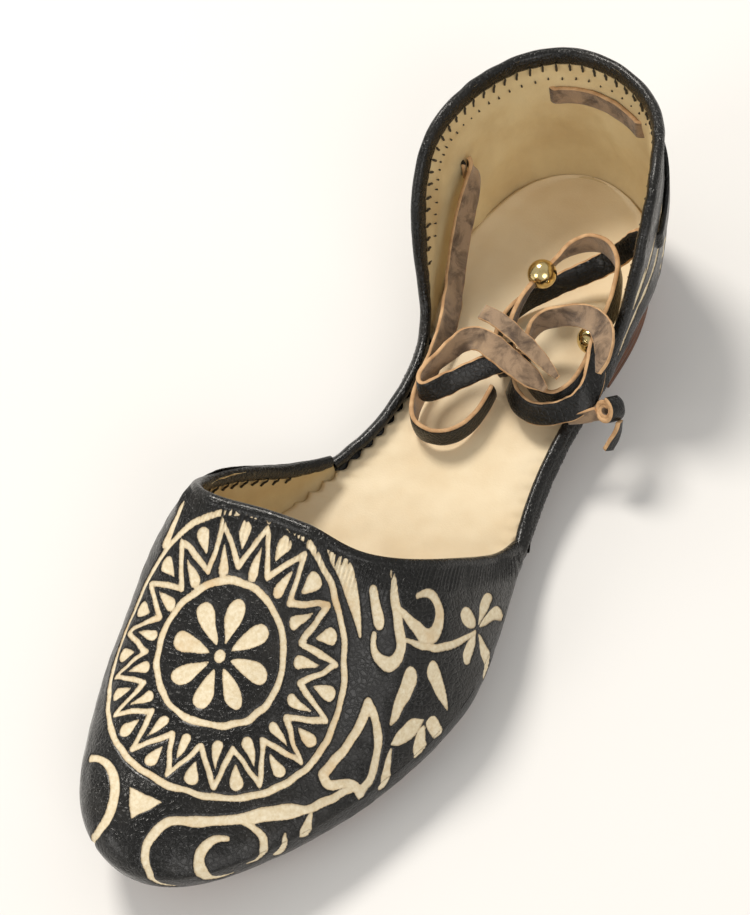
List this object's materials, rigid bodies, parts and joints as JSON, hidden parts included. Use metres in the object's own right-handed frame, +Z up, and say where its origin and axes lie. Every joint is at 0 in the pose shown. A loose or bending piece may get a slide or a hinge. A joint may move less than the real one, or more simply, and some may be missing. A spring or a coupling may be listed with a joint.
{
  "type": "babouche slipper",
  "caption": "Left leather slipper with a closed heel, low open sides, a round-pointed carved vamp and a beaded leather strap lace, on a thin sole with a low heel lift.",
  "frame": {"origin": "middle of the shoe's footprint box, on the floor", "axes": "+Z up, -Y towards the toe, +X towards the outer (lateral) side of this left shoe"},
  "size_m": [0.0916, 0.2456, 0.0632],
  "materials": {
    "black_leather": "glossy grained",
    "sole_leather": "satin",
    "insole_leather": "matte",
    "strap_leather": "black face, brown suede back",
    "brass": "polished"
  },
  "bodies": {
    "root": {"upper": "black_leather", "outsole": "sole_leather", "insole": "insole_leather", "heel_lift": "sole_leather", "lace_inner": "strap_leather", "lace_bow": "strap_leather", "lace_outer": "strap_leather", "lace_arch": "strap_leather", "lace_ring": "strap_leather", "lace_curl": "strap_leather", "lace_tail": "strap_leather", "lace_knot": "strap_leather", "end_knot": "strap_leather", "end_knot_tail": "strap_leather", "bead_arch": "brass", "bead_ring": "brass"}
  },
  "joints": []
}
